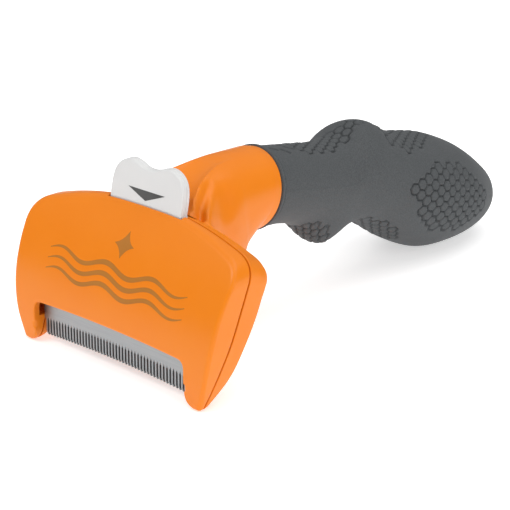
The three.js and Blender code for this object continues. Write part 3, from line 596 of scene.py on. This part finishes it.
def rear_shell():
    outline, share = shell_outline(BACK_EDGE)
    body = plate("rear_shell", outline, lambda x, z: seam_y(z) + SEAM_GAP, lambda x, z: back_y(z),
                 [(0.16, 0), (0, 0.16)], quarter(1.3, 5), share)
    lowered(clean(body))
    cut(body, neck_body(), "UNION")
    cut(body, button_shaft())
    open_side = lambda x, z: seam_y(z) - CUT_PAST
    inner = lambda x, z: back_y(z) - WALL
    hollow = plate("hollow", cavity_outline(), open_side, inner, pitch=3)
    cut(body, lowered(clean(hollow)))
    cut(body, rod(on_axis(-SOCKET_DEPTH, 0, 0), on_axis(5, 0, 0), SOCKET_RADIUS, 64))
    for x, z in HOUSING_SCREWS:
        cut(body, rod((x, back_y(z) - SCREW_SUNK, z), (x, 40, z), SCREW_HOLE))
    cut(body, rod(on_axis(*HANDLE_HOLE_TOP), on_axis(*HANDLE_HOLE_LOW), HANDLE_HOLE))
    return place(clean(body, 40), ORANGE, nodes=["rear_housing"])


# ---- blade ----
def tip_at(x):
    """Height of the teeth's tips, which lie on a shallow arc."""
    return TOOTH_TIP[1] - (TOOTH_TIP[1] - TOOTH_TIP[0]) * (x / BLADE_HALF) ** 2


def blade():
    pitch = 2 * BLADE_HALF / (TOOTH_COUNT + SLOT_SHARE)
    tooth = pitch * (1 - SLOT_SHARE)
    shoulder = TOOTH_LENGTH - SLOT_POINT
    root = tip_at(BLADE_HALF) + TOOTH_LENGTH
    points = [(-BLADE_HALF, BLADE_TOP), (-BLADE_HALF, root)]
    # each tooth narrows in two small steps to a flat tip, and each slot ends in a point
    for i in range(TOOTH_COUNT):
        left = -BLADE_HALF + pitch * SLOT_SHARE + i * pitch
        right = left + tooth
        tip = tip_at(left + tooth / 2)
        points += [(left, tip + shoulder), (left, tip + TIP_BEVEL), (left + 0.08, tip + 0.35)]
        points += [(left + tooth * 0.34, tip), (left + tooth * 0.66, tip)]
        points += [(right - 0.08, tip + 0.35), (right, tip + TIP_BEVEL), (right, tip + shoulder)]
        if i < TOOTH_COUNT - 1:
            points += [(right + (pitch - tooth) / 2, tip + TOOTH_LENGTH)]
    points += [(BLADE_HALF, root), (BLADE_HALF, BLADE_TOP)]

    def ground(x, z):
        return BLADE_FRONT + 0.6 * np.clip((tip_at(x) + TIP_BEVEL - z) / TIP_BEVEL, 0, 1)

    body = plate("toothed_blade", np.array(points), ground, lambda x, z: BLADE_FRONT + BLADE_THICK + 0 * z,
                 [(0.06, 0), (0, 0.06)], [(0.06, 0), (0, 0.06)], pitch=2.5, walls=0)
    clean(body)
    for x in BLADE_HOLES:
        cut(body, rod((x, 0, BLADE_HOLE_UP), (x, 9, BLADE_HOLE_UP), BLADE_HOLE))
    place(clean(body, 20), STEEL, nodes=["comb_blade"])
    # the walls of the slots get a dark steel, painted shade for the dark gaps between the teeth
    body.data.materials.append(PAINTED_SLOT_SHADE)
    reach = (BLADE_HALF - 0.2) * MM
    for face in body.data.polygons:
        if abs(face.normal.x) > 0.7 and face.center.z < root * MM and abs(face.center.x) < reach:
            face.material_index = 1
    return body


# ---- button ----
def button_outline():
    edge = BUTTON_EDGE + [(-x, z) for x, z in reversed(BUTTON_EDGE[:-1])]
    top = [tuple(p) for p in spline(edge, 240)]
    corner = 0.8
    left = [(-BUTTON_HALF, BUTTON_LOW + corner), (-BUTTON_HALF + corner, BUTTON_LOW)]
    right = [(BUTTON_HALF - corner, BUTTON_LOW), (BUTTON_HALF, BUTTON_LOW + corner)]
    return even(right + top + left, 0.35)


def button_y(z):
    return BUTTON_FRONT + np.clip(z - LEAN_START, 0, None) * BUTTON_LEAN


def button():
    outline = button_outline()
    # the front edge is rounded, and a fine groove runs round the side
    edge = quarter(BUTTON_ROUND, 4) + [(0.02, 1.5), (0.14, 1.6), (0.14, 1.75), (0, 1.85)]
    back_edge = quarter(BUTTON_ROUND, 3)
    share = np.where(outline[:, 1] < PAD_LOW + 0.2, 0.3, 1.0)

    def back(x, z):
        return np.where(z > PAD_LOW, button_y(z) + BUTTON_THICK, STEM_BACK + 0 * z)

    body = plate("button", outline, lambda x, z: button_y(z), back, edge, back_edge, share, pitch=1.0)
    clean(body)
    for wing in button_foot():
        cut(body, clean(wing), "UNION")
    return place(clean(body), WHITE, "ejector", ["ejector_button"])


def button_foot():
    """A small flare on each side of the button where it enters the head."""
    wings = []
    for side in (-1, 1):
        inner, outer = side * (BUTTON_HALF - 0.6), side * (BUTTON_HALF + 0.52)
        curve = [(side * BUTTON_HALF, 51.0), (side * (BUTTON_HALF + 0.12), 50.5), (outer, 50.15)]
        ring = [(inner, 51.2)] + curve + [(outer, 50.0), (inner, 49.9)]
        front, back = BUTTON_FRONT + 0.5, BUTTON_FRONT + BUTTON_THICK - 0.25
        verts = [(x, y, z) for y in (front, back) for x, z in ring]
        wings.append(new_object("button_foot", verts, prism_faces(len(ring))))
    return wings


# ---- prints ----
def print_on(name, outlines, surface, material, body):
    """A thin layer of ink on a face, from one or more outlines."""
    front = lambda x, z: surface(z) - 0.05
    back = lambda x, z: surface(z) + 0.1
    parts = [plate(name, np.array(o), front, back, pitch=1.5, walls=0) for o in outlines]
    joined = bmesh.new()
    for part in parts:
        joined.from_mesh(part.data)
    joined.to_mesh(parts[0].data)
    joined.free()
    for part in parts[1:]:
        bpy.data.objects.remove(part)
    return place(clean(parts[0]), material, body, weighted=False)


def strand(x0, x1, z, rise, turns, width):
    """A wavy hair, thick in the middle and pointed at its ends."""
    t = np.linspace(0, 1, 90)
    x = x0 + (x1 - x0) * t
    line = z + rise * np.sin(2 * np.pi * turns * t)
    half = width * np.sin(np.pi * np.clip(t, 0.01, 0.99)) ** 0.5 / 2
    return list(zip(x, line - half)) + list(zip(x[::-1], (line + half)[::-1]))


def face_mark():
    """A plain ornament of three wavy hairs and a lozenge."""
    outlines = [strand(x0=-30, x1=31, z=z, rise=1.2, turns=3, width=1.5) for z in (33.2, 30.0, 26.8)]
    lozenge = bend((0, 36.6), (1.2, 39.6), (4.2, 40.4), 8) + bend((4.2, 40.4), (1.2, 41.2), (0, 44.2), 8)
    outlines.append(mirrored([(0, 36.6)] + lozenge))
    return print_on("face_mark", outlines, face_y, FACE_PRINT, "root")


def button_arrow():
    return print_on("button_arrow", [[(0, 52.4), (8, 55.5), (-8, 55.5)]], button_y, DARK_PRINT, "ejector")


# ---- grip ----
GRIP_TOP = [(0, 13.9), (20, 15.3), (32, 16.2), (40, 18), (44.7, 21), (48.5, 23.8), (52, 24.7),
            (56, 24.6), (60.5, 23.4), (65, 21.8), (70, 21.1), (80, 21.4), (90, 21.6), (98, 20.7), (106, 19.2),
            (114, 16.8), (121, 14.1), (127, 11.6), (131, 9.4), (134.5, 6.4), (136.4, 3)]
GRIP_LOW = [(0, -13.8), (10, -12.1), (18, -11.9), (24, -12.9), (28, -14.8), (32, -17.2), (36, -19),
            (39.5, -19.4), (43.5, -17.4), (48, -13.8), (52.5, -12), (57, -12), (61.5, -12.9), (67.4, -14.7),
            (73.6, -16.8), (80, -18.9), (90, -21.2), (97, -21.7), (107, -20), (116.5, -17.5), (124, -14.4),
            (130, -10.6), (134.5, -5), (136.4, 0)]
GRIP_WIDE = [(0, 13.9), (20, 13.8), (38, 14.3), (58, 17.4), (78, 21.2), (94, 22), (110, 20.8), (124, 16.4),
             (131, 11.2), (134.5, 6.8), (136.4, 2.2)]
BODY_LOW = [(0, -13.8), (10, -12.1), (18, -11.9), (30, -11.7), (44, -11.8), (57, -12)]
CREST_AT, CREST_REACH, CREST_SWEEP = 50.0, 11.0, 5.0    # the thumb rest's crest runs forward down the sides
HOOK_HALF, HOOK_END = 9.8, 57.0      # half width of the finger hook, and where its hollow behind it ends
GRIP_END = 136.4
MOUTH_END, CORE_NECK, CORE_END = 7.0, 14.0, 118.0    # the hollow is round up to the first of these
CORE_SHARE = 0.6                     # the core's section as a part of the grip's
PARTING = math.radians(5)            # where the mould's parting line runs, on each side

grip_top, grip_low, grip_wide = reader(GRIP_TOP), reader(GRIP_LOW), reader(GRIP_WIDE)
plain_low = reader(BODY_LOW)


def grip_flat(s, angle):
    """Across and up from the axis, without the surface's fine relief."""
    x = grip_wide(s) * np.cos(angle)
    sweep = CREST_SWEEP * (x / 14) ** 2 * np.exp(-(((s - CREST_AT) / CREST_REACH) ** 4))
    top = grip_top(s + sweep)
    low = np.where(s < HOOK_END, plain_low(s), grip_low(s))
    up = (top + low) / 2 + (top - low) / 2 * np.sin(angle)
    # the finger hook is narrower than the handle
    hook = np.maximum(low - grip_low(s), 0) * np.exp(-((x / HOOK_HALF) ** 4))
    up = up - hook * np.clip(-np.sin(angle) * 2.2, 0, 1)
    return x, up


def grip_point(s, angle):
    x, up = grip_flat(s, angle)
    return np.stack(on_axis(s, x, up), 1)


def hexagons(u, v, pitch, outline):
    """Groove depth, from 0 to 1, round whole hexagons whose middles lie inside the outline, and each point's
    place in its cell along the pattern."""
    c, d = math.cos(PATTERN_TURN), math.sin(PATTERN_TURN)
    basis = pitch * np.array([[c, d], [c * 0.5 - d * 0.866, d * 0.5 + c * 0.866]])
    at = np.stack([u, v], 1)
    cell = np.round(at @ np.linalg.inv(basis))
    turns = [PATTERN_TURN + k * math.pi / 3 for k in range(3)]
    normals = np.array([[math.cos(a), math.sin(a)] for a in turns])
    groove, lean = np.zeros(len(u)), np.zeros(len(u))
    best = np.full(len(u), 1e9)
    for i in (-1, 0, 1):
        for j in (-1, 0, 1):
            middle = (cell + (i, j)) @ basis
            kept = inside(middle, outline)
            offset = at - middle
            norm = np.abs(offset @ normals.T).max(1)
            groove = np.maximum(groove, kept * np.exp(-(((norm - pitch / 2) / GROOVE_WIDE) ** 2)))
            nearer = norm < best
            best = np.where(nearer, norm, best)
            lean = np.where(nearer, kept * offset[:, 0] / pitch * (norm < pitch / 2), lean)
    return groove, lean


def both(half):
    """A patch's outline (along, across) from its half on the right side."""
    return np.array(list(half) + [(u, -v) for u, v in reversed(half)], float)


SIDE_PATCH = np.array([(66, 1.5), (68, 6.4), (85.5, 13.6), (96, 13.6), (111, 5.6), (114.5, -3.4),
                       (101.5, -11.6), (83, -9.8)], float)
THUMB_PATCH = both([(16, 2.5), (19, 5.4), (36, 5.2), (44, 3), (53, 1.2)])
TOP_PATCH = both([(57, 8), (60, 11.5), (66, 12.6), (80, 10), (89, 6)])
HOOK_PATCH = both([(24, 6.5), (28, 8.8), (34, 8.8), (39, 6.5)])
UNDER_PATCH = both([(51, 7), (55, 10), (73, 10.4), (77, 7)])
SLOTS = [((4.2, 2.2), (6.0, 3.9)), ((8.2, 3.8), (10.4, 5.8)), ((11.2, 0.0), (11.9, 2.0)),
         ((11.9, 2.0), (14.0, 3.7))]
SLOT_DEEP, SLOT_WIDE = 0.95, 0.55
PATTERN_TURN = math.radians(30)
GROOVE_DEEP, GROOVE_WIDE = 0.85, 0.3
CELL_LEAN = 0.42                     # how much each cell rises from one side to the other
LIP_HIGH, LIP_RISE = 0.4, 0.3        # height of the lip at the collar, and what it gains on top
LIP_END = 3.0
PARTING_STEP = 0.012


def patches(s, x, up):
    """The patterned areas: which points they take, the pattern's two axes, its pitch and its outline."""
    above, below = up > 8, up < -6
    side = np.abs(x) > 8
    return [
        (side, s, up, 3.9, SIDE_PATCH),
        (above & (s < 56), s, x, 3.4, THUMB_PATCH),
        (above & (s > 55), s, x, 3.4, TOP_PATCH),
        (below & (s < 44), s, x, 3.0, HOOK_PATCH),
        (below & (s > 45), s, x, 3.4, UNDER_PATCH),
    ]


def grip_relief(s, angle):
    """Height of the fine relief over the grip's surface."""
    x, up = grip_flat(s, angle)
    height = np.zeros(len(s))
    for where, u, v, pitch, outline in patches(s, x, up):
        groove, lean = hexagons(u, v, pitch, outline)
        height += where * (CELL_LEAN * lean - GROOVE_DEEP * groove)
    for (s0, x0), (s1, x1) in SLOTS:
        run = np.array([s1 - s0, x1 - x0])
        t = np.clip(((s - s0) * run[0] + (np.abs(x) - x0) * run[1]) / (run @ run), 0, 1)
        far = np.hypot(s - s0 - t * run[0], np.abs(x) - x0 - t * run[1])
        height -= np.where(up > 8, SLOT_DEEP * np.exp(-((far / SLOT_WIDE) ** 4)), 0)
    # the lip at the collar, and the parting line
    lip = LIP_HIGH + LIP_RISE * np.clip(np.sin(angle), 0, 1)
    height += lip * np.exp(-(((s - 0.75) / 0.62) ** 4)) - 0.22 * np.exp(-(((s - 1.75) / 0.35) ** 2))
    line = np.minimum(np.abs(angle - PARTING), np.abs(angle - (math.pi - PARTING)))
    height += 0.07 * (line < 0.004) * (s > 2.5) * (s < 128)
    return height


def patterned(s, angle):
    """Which points need a fine mesh."""
    x, up = grip_flat(s, angle)
    fine = (up > 8) & (s > 3) & (s < 16) & (np.abs(x) < 7.5)
    for where, u, v, _, outline in patches(s, x, up):
        middle = outline.mean(0)
        grown = middle + (outline - middle) * (1 + 2.6 / np.abs(outline - middle).max(0))
        fine |= where & inside(np.stack([u, v], 1), grown)
    return fine


def grip_rows():
    """Distances along the axis: close at the lip and towards the round end."""
    lip = np.linspace(GAP / 2, LIP_END, 15)
    rest = LIP_END + (GRIP_END - LIP_END) * (1 - (1 - np.linspace(0, 1, 150)[1:]) ** 1.35)
    return np.r_[lip, rest]


def grip_angles():
    """Angles round the axis, with three close together at each parting line."""
    base = np.linspace(-np.pi / 2, 1.5 * np.pi, 133)
    extra = [a + d for a in (PARTING, math.pi - PARTING) for d in (-PARTING_STEP, 0, PARTING_STEP)]
    near = [min(abs(b - e) for e in extra) for b in base]
    return np.sort(np.r_[base[np.array(near) > PARTING_STEP], extra])


def grip():
    rows, angles = grip_rows(), grip_angles()
    bm = bmesh.new()
    grid = [[bm.verts.new((s, a, 0)) for a in angles] for s in rows]
    for i in range(len(rows) - 1):
        for j in range(len(angles) - 1):
            bm.faces.new((grid[i][j], grid[i][j + 1], grid[i + 1][j + 1], grid[i + 1][j]))
    bm.faces.ensure_lookup_table()
    centres = np.array([f.calc_center_median()[:2] for f in bm.faces])
    fine = patterned(centres[:, 0], centres[:, 1])
    edges = {e for f, kept in zip(bm.faces, fine) if kept for e in f.edges}
    bmesh.ops.subdivide_edges(bm, edges=list(edges), cuts=3, use_grid_fill=True)
    bm.verts.ensure_lookup_table()
    flat = np.array([v.co[:2] for v in bm.verts])
    s, a = flat.T
    step = 1e-3
    along = grip_point(np.minimum(s + step, GRIP_END), a) - grip_point(np.maximum(s - step, 0), a)
    around = grip_point(s, a + step) - grip_point(s, a - step)
    normal = np.cross(around, along)
    normal /= np.linalg.norm(normal, axis=1, keepdims=True) + 1e-12
    centre = np.stack(on_axis(s, 0 * s, 0 * s), 1)
    solid = grip_point(s, a)
    normal *= np.sign(np.sum(normal * (solid - centre), 1))[:, None]
    solid = solid + normal * grip_relief(s, a)[:, None]
    # the hollow that the core fills, joined to the outside by the ring that faces the collar
    front, last = [[bm.verts[i] for i in sorted(np.flatnonzero(s == end), key=lambda i: a[i])]
                   for end in (s.min(), s.max())]
    for v, p in zip(bm.verts, solid):
        v.co = p
    inner = []
    mouth, deep = [GAP / 2, MOUTH_END], np.linspace(CORE_NECK, CORE_END + GAP, 13)
    for at in [*mouth, *deep]:
        if at <= MOUTH_END:
            x, up = SOCKET_RADIUS * np.cos(angles), SOCKET_RADIUS * np.sin(angles)
        else:
            top, low, wide = grip_top(at), grip_low(at), grip_wide(at)
            half = (top - low) / 2 * CORE_SHARE + GAP
            x, up = (wide * CORE_SHARE + GAP) * np.cos(angles), (top + low) / 2 + half * np.sin(angles)
        inner.append([bm.verts.new(p) for p in zip(*on_axis(at + 0 * angles, x, up))])
    for a_row, b_row in zip([front] + inner[:-1], inner):
        for j in range(len(angles) - 1):
            bm.faces.new((a_row[j], a_row[j + 1], b_row[j + 1], b_row[j]))
    for row in (inner[-1], last):
        tip = bm.verts.new(sum((v.co for v in row[:-1]), Vector()) / (len(row) - 1))
        for j in range(len(angles) - 1):
            bm.faces.new((row[j], row[j + 1], tip))
    mesh = bpy.data.meshes.new("rubber_grip")
    bm.to_mesh(mesh)
    bm.free()
    body = bpy.data.objects.new("rubber_grip", mesh)
    bpy.context.scene.collection.objects.link(body)
    return place(clean(body, 60), RUBBER, nodes=["grip"], weighted=False)


# ---- return springs ----
def return_spring(index, x):
    """A coil of round wire, wound between the spring's low and high ends."""
    steps = SPRING_TURNS * 28
    around = np.linspace(0, 2 * np.pi, 11)[:-1]
    rings = []
    for t in np.linspace(0, 1, steps + 1):
        a = 2 * np.pi * SPRING_TURNS * t
        out = np.array([math.cos(a), math.sin(a), 0])
        height = SPRING_LOW + SPRING_WIRE + (SPRING_HIGH - SPRING_LOW - 2 * SPRING_WIRE) * t
        middle = np.array([x, SPRING_Y, height]) + SPRING_RADIUS * out
        rings.append(np.array([middle + SPRING_WIRE * (math.cos(b) * out + math.sin(b) * np.array([0, 0, 1]))
                               for b in around]))
    coil = rings_body(f"spring_coil_{index}", rings)
    place(coil, SPRING, "root", [f"return_spring_{index}"], weighted=False)
    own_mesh(coil)


# ---- the CAD pieces that keep their shape ----
KEPT = {
    "black_plastic": (BLACK, ["ejector_link", "ejector_bar", "handle_core_left", "handle_core_right"]),
    "blade_steel": (STEEL, ["bar_rivet_1", "bar_rivet_2", "button_rivet_1", "button_rivet_2"]),
    "zinc_fastener": (ZINC, ["blade_clamp", "handle_screw"]
                      + [f"blade_screw_{i}" for i in (1, 2, 3)]
                      + [f"housing_screw_{i}" for i in (1, 2, 3, 4)]
                      + [f"core_screw_{i}" for i in (1, 2, 3)]),
    "brass_insert": (BRASS, ["handle_insert"]),
}


def finish_kept():
    for slot, (material, names) in KEPT.items():
        for name in names:
            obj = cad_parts[name]
            obj.data.materials.clear()
            obj.data.materials.append(material)


# ---- studio ----
SKY = [(0.0, 0.1), (0.3, 0.3), (0.9, 0.72)]          # height in the sky and brightness
SOFTBOXES = [                                        # place, size and power
    ("top_softbox", (0.15, 0.1, 0.9), 0.7, 2.4),
    ("right_softbox", (0.9, -0.15, 0.45), 0.6, 1.9),
    ("front_softbox", (-0.3, -0.75, 1.0), 0.45, 3.6),
]
CAMERA_AT = (0.3291, -0.39535, 0.2108)
CAMERA_TURN, CAMERA_TILT, CAMERA_ROLL = (math.radians(angle) for angle in (42.1, 21.2, 0.6))
CAMERA_LENS, SENSOR = 110.05, 36


def studio():
    floor = new_object("floor", [(-6, -6, 0), (6, -6, 0), (6, 6, 0), (-6, 6, 0)], [(0, 1, 2, 3)])
    floor.location.z = -0.0003
    material, tree, shader, where = nodes_of("pale_floor")
    cloud = texture(tree, where, "ShaderNodeTexNoise", 3, Detail=2.0)
    tree.links.new(ramp(tree, cloud.outputs["Fac"], [(0.3, (0.93, 0.93, 0.93)), (0.7, (0.95, 0.95, 0.95))]),
                   shader.inputs["Base Color"])
    shader.inputs["Roughness"].default_value = 0.9
    shader.inputs["Specular IOR Level"].default_value = 0.0
    shader.inputs["Emission Color"].default_value = (1, 1, 1, 1)
    shader.inputs["Emission Strength"].default_value = 0.5
    floor.data.materials.append(material)

    world = bpy.data.worlds.new("studio")
    world.use_nodes = True
    tree = world.node_tree
    split = tree.nodes.new("ShaderNodeSeparateXYZ")
    tree.links.new(tree.nodes.new("ShaderNodeTexCoord").outputs["Generated"], split.inputs["Vector"])
    # dim near the horizon and bright overhead, so that the gloss stays clear
    glow = ramp(tree, split.outputs["Z"], [(height, (grey, grey, grey)) for height, grey in SKY])
    tree.links.new(glow, tree.nodes["Background"].inputs["Color"])
    tree.nodes["Background"].inputs["Strength"].default_value = 1.0
    bpy.context.scene.world = world

    for name, at, size, power in SOFTBOXES:
        light = bpy.data.lights.new(name, "AREA")
        light.shape, light.size, light.energy = "SQUARE", size, power
        lamp = bpy.data.objects.new(name, light)
        lamp.location = at
        lamp.rotation_euler = (Vector((0, 0, 0.03)) - Vector(at)).to_track_quat("-Z", "Y").to_euler()
        bpy.context.scene.collection.objects.link(lamp)

    bpy.context.scene.view_settings.view_transform = "Standard"


def camera():
    turn, tilt, roll = CAMERA_TURN, CAMERA_TILT, CAMERA_ROLL
    right = Vector((math.cos(turn), math.sin(turn), 0))
    up = Vector((-math.sin(turn) * math.sin(tilt), math.cos(turn) * math.sin(tilt), math.cos(tilt)))
    across = math.cos(roll) * right + math.sin(roll) * up
    upward = math.cos(roll) * up - math.sin(roll) * right
    back = across.cross(upward)
    data = bpy.data.cameras.new("camera")
    data.sensor_width, data.lens, data.clip_start = SENSOR, CAMERA_LENS, 0.01
    obj = bpy.data.objects.new("camera", data)
    rotation = Matrix((across, upward, back)).transposed().to_4x4()
    obj.matrix_world = Matrix.Translation(CAMERA_AT) @ rotation
    bpy.context.scene.collection.objects.link(obj)
    bpy.context.scene.camera = obj


camera()
studio()
front_shell()
rear_shell()
blade()
button()
button_arrow()
face_mark()
grip()
for number, side in ((1, -1), (2, 1)):
    return_spring(number, side * SPRING_X)
finish_kept()
